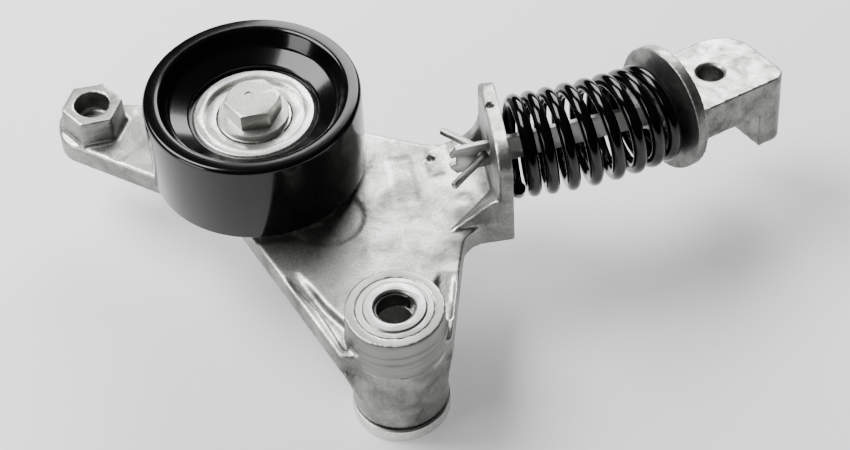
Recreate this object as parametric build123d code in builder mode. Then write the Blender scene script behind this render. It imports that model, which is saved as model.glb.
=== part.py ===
from build123d import *
import math
import os

# Belt tensioner idler: a die-cast arm that turns on a hollow pivot shaft and carries a smooth
# idler pulley, a hexagonal wrench boss and a flat rod with a coil spring and a bolt-down end.
# Millimetres. The origin is on the pivot axis at the pivot shaft's lower face, +Z is the pivot
# axis, and +X is square to the arm's spring seat, towards the bolt-down end.

os.makedirs("parts", exist_ok=True)

# ---------------------------------------------------------------- driving dimensions

# Pivot
PIVOT_LENGTH = 47.6        # pivot shaft, face to face
PIVOT_BORE_D = 11.0        # clearance for the M10 pivot bolt
PIVOT_SLEEVE_D = 20.1      # running diameter of the shaft
PIVOT_FLANGE_OVER = 0.6    # the flange stands this much proud of the boss's foot, radial
PIVOT_FLANGE_T = 4.7
PIVOT_EDGE = 0.5           # chamfer at the shaft's ends
BUSH_WALL = 1.9
BUSH_LENGTH = 16.0
BUSH_FLANGE_W = 1.5        # the bush's flange, radial, beyond the boss's bore
BUSH_FLANGE_T = 0.8
RING_SEAT_STEP = 1.0       # radial, mouth of the bore opened out to hold the split ring
RING_WALL = 0.7            # split spring ring that keeps the bolt from dropping out
RING_LENGTH = 5.0
RING_DEPTH = 1.2           # below the shaft's top face
RING_GAP = 40.0            # degrees left open

# Arm casting
BOSS_WALL = 3.6            # turned upper part of the pivot boss, round its bore
BOSS_FOOT_WALL = 3.0       # as-cast lower part at its foot, drafted
BOSS_LEDGE = 0.6           # radial, the cast part stands proud where the turned part ends
BOSS_STEP_Z = 31.6
BOSS_TOP_SINK = 0.6        # boss top below the shaft's top face
WEB_TOP_Z = 37.0
WEB_T = 5.0
SKIRT_DEPTH = 8.0          # web top to the bottom of the outer wall
SKIRT_T = 4.0
RIB_T = 3.5
PAD_OVER = 1.5             # radial, the pulley's pad beyond the spacer
PAD_H = 6.0                # the pad above the web
HEX_X, HEX_Y = -86.2, 106.3
HEX_AF = 18.6
HEX_HEIGHT = 10.0
HEX_TURN = 4.0             # degrees from +X to a corner
HEX_HOLE_D = 11.5
HEX_HOLE_DEPTH = 8.0
SEAT_X = 38.8              # inner face of the spring seat
SEAT_T = 4.8
SEAT_FRONT_Y = 36.0
SEAT_BACK_Y = 76.5
SEAT_TOP_Z = 66.5
SEAT_BOTTOM_Z = 30.5
SEAT_CORNER_R = 9.0
SLOT_PLAY_W = 4.0          # slot wider than the rod is thick
SLOT_PLAY_H = 3.0          # slot taller than the rod
SLOT_CORNER_R = 1.0
SLOT_SHIFT = 0.4           # the slot's middle behind the rod's, where the rod meets the seat
SEAT_LAP = 0.5             # walls run this far into the seat
BUTTRESS_TOP_Z = 47.5
BUTTRESS_FOOT = (22.8, 36.6)
BUTTRESS_MID = (25.7, 42.3)
BUTTRESS_INNER_Y = 52.5
BUTTRESS_CREST = 3.5       # crest behind the seat's front edge
GUSSET_R = 13.0
GUSSET_T = 4.5
SIDE_RIB_T = 4.0           # ribs down both sides of the pivot boss
SIDE_RIB_FOOT_Z = 12.0
SIDE_RIBS = [((-0.93, -0.37), 20.0), ((0.97, -0.25), 17.6)]     # direction, reach at the web
# steps down beside the boss: a ramp whose first two corners are at the web, then a level floor
STEP_DEPTH = 3.0
LEFT_RAMP = [(-32.2, 27.6), (-27.6, 29.2), (-20.4, 14.0), (-23.4, 13.0)]
LEFT_FLOOR = [(-23.4, 13.0), (-20.4, 14.0), (-14.5, 4.4), (-15.9, -7.7), (-22.4, 11.1)]
RIGHT_RAMP = [(16.0, 20.5), (21.9, 18.8), (19.6, 9.8), (13.0, 10.6)]
RIGHT_FLOOR = [(19.6, 9.8), (13.0, 10.6), (13.0, -2.0), (16.4, -2.5)]
BLANK_X, BLANK_Y, BLANK_DEPTH = (7.1, 15.0), (50.5, 72.3), 0.2   # plain sunken rectangle
PAD = [(21.0, 72.7), (26.5, 74.5), (26.2, 71.7), (25.3, 62.5), (20.9, 61.7), (19.9, 67.1)]
PAD_RISE = 0.3
PAD_HOLE, PAD_HOLE_D, PAD_HOLE_DEPTH = (21.6, 69.3), 2.6, 2.0
EJECTOR_MARKS = [(-79.6, 90.4), (-70.5, 109.9), (29.6, 49.8)]
EJECTOR_D, EJECTOR_DEPTH = 5.0, 0.25
WEB_DISH, WEB_DISH_D, WEB_DISH_DEPTH = (-14.9, 49.8), 24.0, 0.3  # shallow round dish
SEAT_PIP_X, SEAT_PIP_Y = 1.6, 61.0     # blind hole in the seat's top, X from its inner face
SEAT_PIP_D, SEAT_PIP_DEPTH = 2.5, 3.0

# Pulley and its bearing
PULLEY_X, PULLEY_Y = -33.6, 77.6
PULLEY_D = 70.0
PULLEY_WIDTH = 30.5
PULLEY_GAP = 2.5           # pulley above the web
LIP_W = 5.5                # rolled lip at the pulley's front rim, radial
RIM_WEB_H = 16.0           # pulley's inner web above its rear face
SHOULDER = 0.9             # radial, the dish above the bearing is wider than the bearing
SHELL_WALL = 4.0
HUB_WALL = 4.0
BEARING_BORE_D = 17.0
BEARING_D = 40.0
BEARING_WIDTH = 12.0
BEARING_RISE = 9.7         # bearing's rear face above the pulley's rear face
INNER_RING_D = 23.8
OUTER_RING_BORE_D = 33.0
BALL_COUNT = 8
BALL_D = 6.6
SHIELD_T = 0.5
SHIELD_SINK = 0.35         # rear shield below the rings' face
FRONT_SINK = 1.65          # inner ring and front shield below the outer ring's front face
SHIELD_GAP = 0.5           # radial, shield to inner ring
RING_CHAMFER_IN = 0.4
RING_CHAMFER_OUT = 0.8
CAGE_T = 0.6
CAGE_W = 2.6               # ribbon, radial
CUP_GAP = 0.15             # radial, ball to its cup
CUP_OVER = 0.2             # the cup stands this much over the ball's gap
RIVET_D = 1.0
RIVET_HEAD_D, RIVET_HEAD_H = 1.7, 0.4
BOLT_D = 10.0
BOLT_HEAD_AF = 16.0
BOLT_HEAD_H = 6.4
BOLT_TURN = 0.0            # degrees from +X to a corner of the head
BOLT_FLANGE_D = 22.6
BOLT_FLANGE_T = 2.15
BOLT_TIP_RISE = 2.0        # bolt's tip above the bottom of the outer wall
HEAD_CONE_IN, HEAD_CONE_DROP = 0.2, 0.7   # cone that takes off the head's corners
DIMPLE_X, DIMPLE_Y = -0.9, 1.5            # off the bolt's axis
DIMPLE_D, DIMPLE_DEPTH = 2.7, 0.35
SPACER_D = 23.0

# Strut: flat rod, bolt-down end, coil spring and retaining pin
ROD_Y, ROD_Z = 56.4, 50.0  # where the rod crosses the seat's inner face
ROD_H = 10.0
ROD_T = 2.0
ROD_TAIL = 13.0            # rod standing out behind the seat
ROD_YAW, ROD_PITCH, ROD_ROLL = 9.9, -2.0, -4.0
ROD_HOOK = 6.0             # how far the hook drops below the rod
ROD_HOOK_L = 4.0
ROD_HOOK_STEP = 1.5        # the hook's top below the rod's
ROD_NOSE_L, ROD_NOSE_H = 2.0, 2.5         # the tail's corners, cut off
ROD_NOTCH_L, ROD_NOTCH_H, ROD_NOTCH_UP = 4.4, 3.0, 0.3
PIN_SLOT_L = 1.2           # the pin's hole in the rod is longer than it is high
DISC_D = 42.0
DISC_T = 3.7
DISC_REACH = 56.9          # spring seat to the centre of the disc's rear face, along X
DISC_Y, DISC_Z = 67.0, 49.0
END_YAW, END_PITCH, END_ROLL = 24.0, -4.5, -6.4
LUG_L = 36.4
LUG_W = 31.0
LUG_TOP = 6.0              # lug's upper face above the disc's centre
LUG_T = 12.5
LUG_FRONT_R = 4.5          # rounding of the lug's two far corners, seen from above
LUG_BACK_R = 12.0
LUG_HOLE_D = 8.4
LUG_HOLE_X = 16.7
LUG_CHAMFER = 1.0
TANG_L = 10.5
TANG_H = 12.8
HOOK_POCKET_L, HOOK_POCKET_W = 8.6, 12.0  # under the lug, for the rod's hook
HOOK_POCKET_ROOF = 2.4     # left over the pocket
DISC_SLOT_W, DISC_SLOT_PLAY = 7.0, 0.9
DISC_SLOT_X, DISC_SLOT_Y = -0.3, -1.6
LUG_LAP = 1.0              # the lug runs this far into the disc
WIRE_D = 4.6
COIL_TURNS = 8.25
COIL_END_R = 14.5          # to the wire's centre, at the end turns
COIL_SWELL = 0.7           # more at the middle turns
COIL_END_GAP = 0.35        # between the close turns at the ends
COIL_PHASE = 200.0
PIN_D = 2.6
PIN_LEG = 17.0
PIN_SPREAD = 47.0          # degrees between the seat's face normal and each leg
PIN_EYE = 2.4              # straight stretch through the rod
PIN_BEND_R = 1.6

# Clearances
RUN_FIT = 0.05             # radial, a shaft in its bush and a ball in its track
FACE_GAP = 0.1             # between faces that slide on each other
SPRING_GAP = 0.3           # coil to its seats
THREAD_FIT = 0.05          # radial, bolt thread in the arm
BOLT_CLEARANCE = 0.2       # radial, bolt in the spacer and the cover
SLIDE_FIT = 0.4            # retaining pin in the rod's hole

# ---------------------------------------------------------------- derived places

BOSS_TOP_Z = PIVOT_LENGTH - BOSS_TOP_SINK
BOSS_BOTTOM_Z = PIVOT_FLANGE_T + 2 * FACE_GAP + BUSH_FLANGE_T
BUSH_BORE_R = PIVOT_SLEEVE_D / 2 + RUN_FIT
BOSS_BORE_R = BUSH_BORE_R + BUSH_WALL
BOSS_R = BOSS_BORE_R + BOSS_WALL
BOSS_CAST_R = BOSS_R + BOSS_LEDGE
BOSS_FOOT_R = BOSS_BORE_R + BOSS_FOOT_WALL
BUSH_FLANGE_R = BOSS_BORE_R + BUSH_FLANGE_W
PIVOT_FLANGE_R = BOSS_FOOT_R + PIVOT_FLANGE_OVER
RING_SEAT_R = PIVOT_BORE_D / 2 + RING_SEAT_STEP
SKIRT_Z = WEB_TOP_Z - SKIRT_DEPTH
SEAT_OUT_X = SEAT_X + SEAT_T
PULLEY_Z = WEB_TOP_Z + PULLEY_GAP
PULLEY_TOP_Z = PULLEY_Z + PULLEY_WIDTH
BEARING_Z = PULLEY_Z + BEARING_RISE
BEARING_TOP_Z = BEARING_Z + BEARING_WIDTH
BEARING_MID_Z = BEARING_Z + BEARING_WIDTH / 2
SLOT_W = ROD_T + SLOT_PLAY_W
SLOT_H = ROD_H + SLOT_PLAY_H
COIL_END_PITCH = WIRE_D + COIL_END_GAP
BALL_PITCH_R = (INNER_RING_D + OUTER_RING_BORE_D) / 4
TRACK_R = BALL_D / 2 + RUN_FIT
PULLEY_PAD_Z = WEB_TOP_Z + PAD_H
BOLT_SEAT_Z = BEARING_TOP_Z - FRONT_SINK
BOLT_TIP_Z = SKIRT_Z + BOLT_TIP_RISE
HEAD_TOP_Z = BOLT_SEAT_Z + BOLT_FLANGE_T + BOLT_HEAD_H

PULLEY_AXIS = Location((PULLEY_X, PULLEY_Y, 0))


def turned_frame(yaw, pitch, roll):
    """Directions of a frame turned about +Z, then nosed up, then rolled about its own axis."""
    y, p, r = (math.radians(a) for a in (yaw, pitch, roll))
    along = Vector(math.cos(y) * math.cos(p), math.sin(y) * math.cos(p), math.sin(p))
    side = Vector(-math.sin(y), math.cos(y), 0)
    up = along.cross(side)
    return along, side * math.cos(r) + up * math.sin(r), up * math.cos(r) - side * math.sin(r)


END_ALONG, END_SIDE, END_UP = turned_frame(END_YAW, END_PITCH, END_ROLL)
ROD_ALONG, ROD_SIDE, ROD_UP = turned_frame(ROD_YAW, ROD_PITCH, ROD_ROLL)
DISC_BACK = Vector(SEAT_OUT_X + DISC_REACH, DISC_Y, DISC_Z)
DISC_FRONT = DISC_BACK - END_ALONG * DISC_T
ROD_AT_SEAT = Vector(SEAT_X, ROD_Y, ROD_Z)

# ---------------------------------------------------------------- pivot

with BuildPart() as pivot_shaft:
    Cylinder(PIVOT_FLANGE_R, PIVOT_FLANGE_T, align=(Align.CENTER, Align.CENTER, Align.MIN))
    Cylinder(PIVOT_SLEEVE_D / 2, PIVOT_LENGTH, align=(Align.CENTER, Align.CENTER, Align.MIN))
    Hole(PIVOT_BORE_D / 2)
    with BuildSketch(Plane.XY.offset(PIVOT_LENGTH)):
        Circle(RING_SEAT_R)
    extrude(amount=-(RING_DEPTH + RING_LENGTH + FACE_GAP), mode=Mode.SUBTRACT)
    rims = pivot_shaft.edges().filter_by(GeomType.CIRCLE).filter_by_position(
        Axis.Z, PIVOT_LENGTH - 0.01, PIVOT_LENGTH + 0.01)
    chamfer(rims, PIVOT_EDGE)
    skirt_rims = pivot_shaft.edges().filter_by(
        lambda e: e.geom_type == GeomType.CIRCLE and abs(e.radius - PIVOT_FLANGE_R) < 0.01)
    fillet(skirt_rims, PIVOT_EDGE)

ring_r = RING_SEAT_R - RUN_FIT
with BuildPart() as bolt_retaining_ring:
    with BuildSketch(Plane.XY.offset(PIVOT_LENGTH - RING_DEPTH - RING_LENGTH)):
        Circle(ring_r)
        Circle(ring_r - RING_WALL, mode=Mode.SUBTRACT)
        with BuildLine():
            Polyline((0, 0), (2 * ring_r, 0),
                     (2 * ring_r * math.cos(math.radians(RING_GAP)),
                      2 * ring_r * math.sin(math.radians(RING_GAP))), close=True)
        make_face(mode=Mode.SUBTRACT)
    extrude(amount=RING_LENGTH)


with BuildPart() as upper_bushing:
    with BuildSketch(Plane.XY.offset(BOSS_TOP_Z)):
        Circle(BOSS_BORE_R)
        Circle(BUSH_BORE_R, mode=Mode.SUBTRACT)
    extrude(amount=-BUSH_LENGTH)

with BuildPart() as lower_bushing:
    with BuildSketch(Plane.XY.offset(BOSS_BOTTOM_Z)):
        Circle(BOSS_BORE_R)
        Circle(BUSH_BORE_R, mode=Mode.SUBTRACT)
    extrude(amount=BUSH_LENGTH)
    with BuildSketch(Plane.XY.offset(BOSS_BOTTOM_Z)):
        Circle(BUSH_FLANGE_R)
        Circle(BUSH_BORE_R, mode=Mode.SUBTRACT)
    extrude(amount=-BUSH_FLANGE_T)

with BuildPart() as dust_seal:
    with BuildSketch(Plane.XY.offset(BOSS_BOTTOM_Z)):
        Circle(BOSS_FOOT_R - PIVOT_EDGE)
        Circle(BUSH_FLANGE_R + FACE_GAP, mode=Mode.SUBTRACT)
    extrude(amount=-BUSH_FLANGE_T)

# ---------------------------------------------------------------- arm casting

# Outer outline of the arm seen from above, one corner after another, each with its rounding.
ARM_CORNERS = [
    ((-98.6, 101.1), 10.0),                 # round the wrench boss, front
    ((-46.5, 61.6), 15.0),                  # front of the pulley pad
    ((-18.8, -7.6), 3.0),                   # left of the pivot boss
    ((-8.0, -11.0), 1.0),
    ((9.0, -10.0), 1.0),
    ((16.3, -7.0), 3.0),                    # right of the pivot boss
    ((27.4, SEAT_FRONT_Y - 0.2), 8.0),      # inner bend towards the spring seat
    ((SEAT_OUT_X, SEAT_FRONT_Y), 0.6),
    ((SEAT_OUT_X, SEAT_BACK_Y), 0.6),
    ((23.0, 75.2), 22.0),                   # hollow of the back edge
    ((-30.0, 102.7), 30.0),                 # behind the pulley
    ((-98.6, 120.6), 9.0),                  # round the wrench boss, back
]

with BuildSketch() as arm_outline:
    with BuildLine():
        FilletPolyline([c for c, _ in ARM_CORNERS], radius=[r for _, r in ARM_CORNERS], close=True)
    make_face()

# Wall that climbs from the web to the front edge of the spring seat, as a wedge with a sloping top.
with BuildPart() as front_buttress:
    with BuildSketch(Plane.XY.offset(WEB_TOP_Z - 1)):
        with BuildLine():
            Polyline((SEAT_X + SEAT_LAP, SEAT_FRONT_Y + 0.2), (SEAT_X + SEAT_LAP, BUTTRESS_INNER_Y),
                     BUTTRESS_MID, BUTTRESS_FOOT, close=True)
        make_face()
    extrude(amount=BUTTRESS_TOP_Z - WEB_TOP_Z + 1)
    crest = Vector(SEAT_X + SEAT_LAP, SEAT_FRONT_Y + BUTTRESS_CREST, BUTTRESS_TOP_Z)
    foot = Vector(*BUTTRESS_FOOT, WEB_TOP_Z)
    inner = Vector(SEAT_X + SEAT_LAP, BUTTRESS_INNER_Y, WEB_TOP_Z)
    slope = (foot - crest).cross(inner - crest).normalized()
    slope = slope if slope.Z > 0 else slope * -1
    split(bisect_by=Plane(crest, z_dir=slope), keep=Keep.BOTTOM)

# Curved web at the back edge that climbs to the spring seat.
with BuildPart() as back_gusset:
    with BuildSketch(Plane.XZ.offset(-(SEAT_BACK_Y - 0.4))):
        with BuildLine():
            Line((SEAT_X - GUSSET_R, WEB_TOP_Z), (SEAT_X + SEAT_LAP, WEB_TOP_Z))
            Line((SEAT_X + SEAT_LAP, WEB_TOP_Z), (SEAT_X + SEAT_LAP, WEB_TOP_Z + GUSSET_R))
            Line((SEAT_X + SEAT_LAP, WEB_TOP_Z + GUSSET_R), (SEAT_X, WEB_TOP_Z + GUSSET_R))
            RadiusArc((SEAT_X, WEB_TOP_Z + GUSSET_R), (SEAT_X - GUSSET_R, WEB_TOP_Z), GUSSET_R)
        make_face()
    extrude(amount=GUSSET_T)



def ramp(corners):
    """Solid over a sloping floor, from the web's face at the first two corners to the step."""
    first, second, third = (Vector(*c, WEB_TOP_Z) for c in corners[:3])
    normal = (second - first).cross(third - Vector(0, 0, STEP_DEPTH) - first).normalized()
    normal = normal if normal.Z > 0 else normal * -1
    with BuildPart() as over:
        with BuildSketch(Plane.XY.offset(WEB_TOP_Z)):
            with BuildLine():
                Polyline(*corners, close=True)
            make_face()
        extrude(amount=-STEP_DEPTH)
        split(bisect_by=Plane(first, z_dir=normal), keep=Keep.TOP)
    return over.part


with BuildPart() as arm_casting:
    # web and outer wall
    with BuildSketch(Plane.XY.offset(SKIRT_Z)):
        add(arm_outline.sketch)
    extrude(amount=SKIRT_DEPTH)
    with BuildSketch(Plane.XY.offset(SKIRT_Z)):
        add(arm_outline.sketch)
        offset(amount=-SKIRT_T, kind=Kind.INTERSECTION, mode=Mode.REPLACE)
    extrude(amount=SKIRT_DEPTH - WEB_T, mode=Mode.SUBTRACT)
    # ribs under the web, from the pivot boss to the pulley boss and on to the wrench boss
    with BuildSketch(Plane.XY.offset(SKIRT_Z)):
        with BuildLine():
            Polyline((0, 0), (PULLEY_X, PULLEY_Y), (HEX_X, HEX_Y))
        trace(line_width=RIB_T)
        with BuildLine():
            Line((0, 0), (SEAT_X, ROD_Y))
        trace(line_width=RIB_T)
    extrude(amount=SKIRT_DEPTH - WEB_T)
    # bosses under the pulley and under the wrench hexagon
    with BuildSketch(Plane.XY.offset(SKIRT_Z)):
        with Locations((PULLEY_X, PULLEY_Y)):
            Circle(SPACER_D / 2 + PAD_OVER)
    extrude(amount=PULLEY_PAD_Z - SKIRT_Z)
    with BuildSketch(Plane.XY.offset(SKIRT_Z)):
        with Locations((HEX_X, HEX_Y)):
            Circle(HEX_AF / 2)
    extrude(amount=SKIRT_DEPTH)
    # wrench hexagon with its blind hole
    with BuildSketch(Plane.XY.offset(WEB_TOP_Z)):
        with Locations((HEX_X, HEX_Y)):
            RegularPolygon(HEX_AF / 2, 6, major_radius=False, rotation=HEX_TURN)
    extrude(amount=HEX_HEIGHT, taper=2)
    with Locations((HEX_X, HEX_Y, WEB_TOP_Z + HEX_HEIGHT)):
        Hole(HEX_HOLE_D / 2, depth=HEX_HOLE_DEPTH)
    # spring seat
    with BuildSketch(Plane.YZ.offset(SEAT_X)):
        with BuildLine():
            FilletPolyline((SEAT_FRONT_Y, SEAT_BOTTOM_Z), (SEAT_BACK_Y, SEAT_BOTTOM_Z),
                           (SEAT_BACK_Y, SEAT_TOP_Z), (SEAT_FRONT_Y, SEAT_TOP_Z),
                           radius=[0.6, 0.6, SEAT_CORNER_R, SEAT_CORNER_R], close=True)
        make_face()
    extrude(amount=SEAT_T)
    add(front_buttress.part)
    add(back_gusset.part)
    # steps down beside the pivot boss, cut before the boss is added
    for corners in (LEFT_FLOOR, RIGHT_FLOOR):
        with BuildSketch(Plane.XY.offset(WEB_TOP_Z)):
            with BuildLine():
                Polyline(*corners, close=True)
            make_face()
        extrude(amount=-STEP_DEPTH, mode=Mode.SUBTRACT)
    for corners in (LEFT_RAMP, RIGHT_RAMP):
        add(ramp(corners), mode=Mode.SUBTRACT)
    # pivot boss: a drafted cast part and above it a turned part
    with Locations((0, 0, BOSS_BOTTOM_Z)):
        Cone(BOSS_FOOT_R, BOSS_CAST_R, BOSS_STEP_Z - BOSS_BOTTOM_Z,
             align=(Align.CENTER, Align.CENTER, Align.MIN))
    with BuildSketch(Plane.XY.offset(BOSS_STEP_Z)):
        Circle(BOSS_R)
    extrude(amount=BOSS_TOP_Z - BOSS_STEP_Z)
    with BuildSketch(Plane.XY.offset(BOSS_BOTTOM_Z)):
        Circle(BOSS_BORE_R)
    extrude(amount=BOSS_TOP_Z - BOSS_BOTTOM_Z, mode=Mode.SUBTRACT)
    # side ribs of the pivot boss
    for (rib_x, rib_y), reach in SIDE_RIBS:
        outwards = Vector(rib_x, rib_y, 0).normalized()
        with BuildSketch(Plane((0, 0, 0), x_dir=outwards, z_dir=outwards.cross(Vector(0, 0, 1)))):
            with BuildLine():
                Polyline((BOSS_BORE_R + 1, SIDE_RIB_FOOT_Z), (BOSS_FOOT_R, SIDE_RIB_FOOT_Z),
                         (reach, SKIRT_Z + 0.5), (BOSS_BORE_R + 1, SKIRT_Z + 0.5), close=True)
            make_face()
        extrude(amount=SIDE_RIB_T / 2, both=True)
    # marks in the web's upper face
    with BuildSketch(Plane.XY.offset(WEB_TOP_Z)):
        with Locations((sum(BLANK_X) / 2, sum(BLANK_Y) / 2)):
            Rectangle(BLANK_X[1] - BLANK_X[0], BLANK_Y[1] - BLANK_Y[0])
    extrude(amount=-BLANK_DEPTH, mode=Mode.SUBTRACT)
    with BuildSketch(Plane.XY.offset(WEB_TOP_Z)):
        with Locations(WEB_DISH):
            Circle(WEB_DISH_D / 2)
        with Locations((PULLEY_X, PULLEY_Y)):
            Circle(SPACER_D / 2 + PAD_OVER, mode=Mode.SUBTRACT)
    extrude(amount=-WEB_DISH_DEPTH, mode=Mode.SUBTRACT)
    with BuildSketch(Plane.XY.offset(WEB_TOP_Z)):
        with Locations(*EJECTOR_MARKS):
            Circle(EJECTOR_D / 2)
    extrude(amount=-EJECTOR_DEPTH, mode=Mode.SUBTRACT)
    with BuildSketch(Plane.XY.offset(WEB_TOP_Z)):
        with BuildLine():
            Polyline(*PAD, close=True)
        make_face()
    extrude(amount=PAD_RISE)
    with BuildSketch(Plane.XY.offset(WEB_TOP_Z + PAD_RISE)):
        with Locations(PAD_HOLE):
            Circle(PAD_HOLE_D / 2)
    extrude(amount=-PAD_HOLE_DEPTH, mode=Mode.SUBTRACT)
    with BuildSketch(Plane.XY.offset(SEAT_TOP_Z)):
        with Locations((SEAT_X + SEAT_PIP_X, SEAT_PIP_Y)):
            Circle(SEAT_PIP_D / 2)
    extrude(amount=-SEAT_PIP_DEPTH, mode=Mode.SUBTRACT)
    # hole for the pulley bolt
    with BuildSketch(Plane.XY.offset(SKIRT_Z)):
        with Locations((PULLEY_X, PULLEY_Y)):
            Circle(BOLT_D / 2)
    extrude(amount=PULLEY_PAD_Z - SKIRT_Z, mode=Mode.SUBTRACT)
    # slot for the rod in the spring seat
    with BuildSketch(Plane.YZ.offset(SEAT_X)):
        with Locations((ROD_Y + SLOT_SHIFT, ROD_Z)):
            RectangleRounded(SLOT_W, SLOT_H, SLOT_CORNER_R)
    extrude(amount=SEAT_T, mode=Mode.SUBTRACT)


# ---------------------------------------------------------------- pulley

lip_r = PULLEY_D / 2
bearing_r = BEARING_D / 2
dish_r = bearing_r + SHOULDER
lip_inner_r = lip_r - LIP_W
with BuildPart() as pulley_shell:
    with BuildSketch(Plane.XZ):
        with BuildLine():
            Polyline((bearing_r, BEARING_Z), (bearing_r + HUB_WALL, BEARING_Z),
                     (bearing_r + HUB_WALL, PULLEY_Z + RIM_WEB_H),
                     (lip_r - SHELL_WALL, PULLEY_Z + RIM_WEB_H),
                     (lip_r - SHELL_WALL, PULLEY_Z), (lip_r - 1, PULLEY_Z))
            RadiusArc((lip_r - 1, PULLEY_Z), (lip_r, PULLEY_Z + 1), -1)
            Line((lip_r, PULLEY_Z + 1), (lip_r, PULLEY_TOP_Z - 1.2))
            RadiusArc((lip_r, PULLEY_TOP_Z - 1.2), (lip_r - 1.2, PULLEY_TOP_Z), -1.2)
            Line((lip_r - 1.2, PULLEY_TOP_Z), (lip_inner_r + 1.0, PULLEY_TOP_Z))
            Spline((lip_inner_r + 1.0, PULLEY_TOP_Z), (lip_inner_r - 3.2, PULLEY_TOP_Z - 5.6),
                   (dish_r + 0.6, BEARING_TOP_Z + 0.9), tangents=((-1, 0), (-1, -0.12)))
            Line((dish_r + 0.6, BEARING_TOP_Z + 0.9), (dish_r, BEARING_TOP_Z + 0.5))
            Polyline((dish_r, BEARING_TOP_Z + 0.5), (dish_r, BEARING_TOP_Z - 1),
                     (bearing_r, BEARING_TOP_Z - 1), (bearing_r, BEARING_Z))
        make_face()
    revolve(axis=Axis.Z)
pulley_shell.part = pulley_shell.part.moved(PULLEY_AXIS)

# ---------------------------------------------------------------- bearing

inner_r = INNER_RING_D / 2
outer_bore_r = OUTER_RING_BORE_D / 2

with BuildPart() as bearing_inner_ring:
    with BuildSketch(Plane.XY.offset(BEARING_Z)):
        Circle(inner_r)
        Circle(BEARING_BORE_D / 2, mode=Mode.SUBTRACT)
    extrude(amount=BEARING_WIDTH - FRONT_SINK)
    with BuildSketch(Plane.XZ):
        with Locations((BALL_PITCH_R, BEARING_MID_Z)):
            Circle(TRACK_R)
    revolve(axis=Axis.Z, mode=Mode.SUBTRACT)
    chamfer(bearing_inner_ring.edges().filter_by(
        lambda e: e.geom_type == GeomType.CIRCLE and abs(e.radius - BEARING_BORE_D / 2) < 0.01),
        RING_CHAMFER_IN)

with BuildPart() as bearing_outer_ring:
    with BuildSketch(Plane.XY.offset(BEARING_Z)):
        Circle(BEARING_D / 2)
        Circle(outer_bore_r, mode=Mode.SUBTRACT)
    extrude(amount=BEARING_WIDTH)
    with BuildSketch(Plane.XZ):
        with Locations((BALL_PITCH_R, BEARING_MID_Z)):
            Circle(TRACK_R)
    revolve(axis=Axis.Z, mode=Mode.SUBTRACT)
    chamfer(bearing_outer_ring.edges().filter_by(
        lambda e: e.geom_type == GeomType.CIRCLE and abs(e.radius - BEARING_D / 2) < 0.01),
        RING_CHAMFER_OUT)

with BuildPart() as bearing_balls:
    with Locations((0, 0, BEARING_MID_Z)):
        with PolarLocations(BALL_PITCH_R, BALL_COUNT):
            Sphere(BALL_D / 2)

# Shields, pressed into the outer ring and clear of the inner ring.
shield_inner_r = inner_r + SHIELD_GAP
with BuildPart() as bearing_shield_front:
    with BuildSketch(Plane.XY.offset(BEARING_TOP_Z - FRONT_SINK)):
        Circle(outer_bore_r)
        Circle(shield_inner_r, mode=Mode.SUBTRACT)
    extrude(amount=-SHIELD_T)

with BuildPart() as bearing_shield_rear:
    with BuildSketch(Plane.XY.offset(BEARING_Z + SHIELD_SINK)):
        Circle(outer_bore_r)
        Circle(shield_inner_r, mode=Mode.SUBTRACT)
    extrude(amount=SHIELD_T)

# Pressed cage: two ribbons that meet between the balls and rise into a cup round each ball.
cage_in_r = BALL_PITCH_R - CAGE_W / 2
cage_out_r = BALL_PITCH_R + CAGE_W / 2
cup_r = BALL_D / 2 + CUP_GAP
with BuildPart() as cage_front:
    with BuildSketch(Plane.XY.offset(BEARING_MID_Z + FACE_GAP / 2)):
        Circle(cage_out_r)
        Circle(cage_in_r, mode=Mode.SUBTRACT)
    extrude(amount=CAGE_T)
    with BuildSketch(Plane.XY.offset(BEARING_MID_Z + FACE_GAP / 2)):
        with PolarLocations(BALL_PITCH_R, BALL_COUNT):
            Rectangle(CAGE_W, 2 * (cup_r + CAGE_T))
    extrude(amount=cup_r + CUP_OVER)
    with Locations((0, 0, BEARING_MID_Z)):
        with PolarLocations(BALL_PITCH_R, BALL_COUNT):
            Sphere(cup_r, mode=Mode.SUBTRACT)
    with PolarLocations(BALL_PITCH_R, BALL_COUNT, start_angle=180 / BALL_COUNT):
        with Locations((0, 0, BEARING_MID_Z)):
            Cylinder(RIVET_D / 2, BALL_D, mode=Mode.SUBTRACT)
cage_rear_part = mirror(cage_front.part, about=Plane.XY.offset(BEARING_MID_Z))
with BuildPart() as cage_rear:
    add(cage_rear_part)

with BuildPart() as cage_rivets:
    with PolarLocations(BALL_PITCH_R, BALL_COUNT, start_angle=180 / BALL_COUNT):
        with Locations((0, 0, BEARING_MID_Z)):
            Cylinder(RIVET_D / 2, 2 * CAGE_T + FACE_GAP)
        for side in (1, -1):
            with Locations((0, 0, BEARING_MID_Z + side * (CAGE_T + FACE_GAP / 2 + RIVET_HEAD_H / 2))):
                Cylinder(RIVET_HEAD_D / 2, RIVET_HEAD_H)

# ---------------------------------------------------------------- pulley fastening

with BuildPart() as pulley_spacer:
    with BuildSketch(Plane.XY.offset(PULLEY_PAD_Z)):
        Circle(SPACER_D / 2)
    extrude(amount=BEARING_Z - PULLEY_PAD_Z)
    with BuildSketch(Plane.XY.offset(BEARING_Z)):
        Circle(BEARING_BORE_D / 2)
    extrude(amount=BEARING_WIDTH - FRONT_SINK)
    with BuildSketch(Plane.XY.offset(PULLEY_PAD_Z)):
        Circle(BOLT_D / 2 + BOLT_CLEARANCE)
    extrude(amount=BEARING_TOP_Z - PULLEY_PAD_Z, mode=Mode.SUBTRACT)

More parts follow.
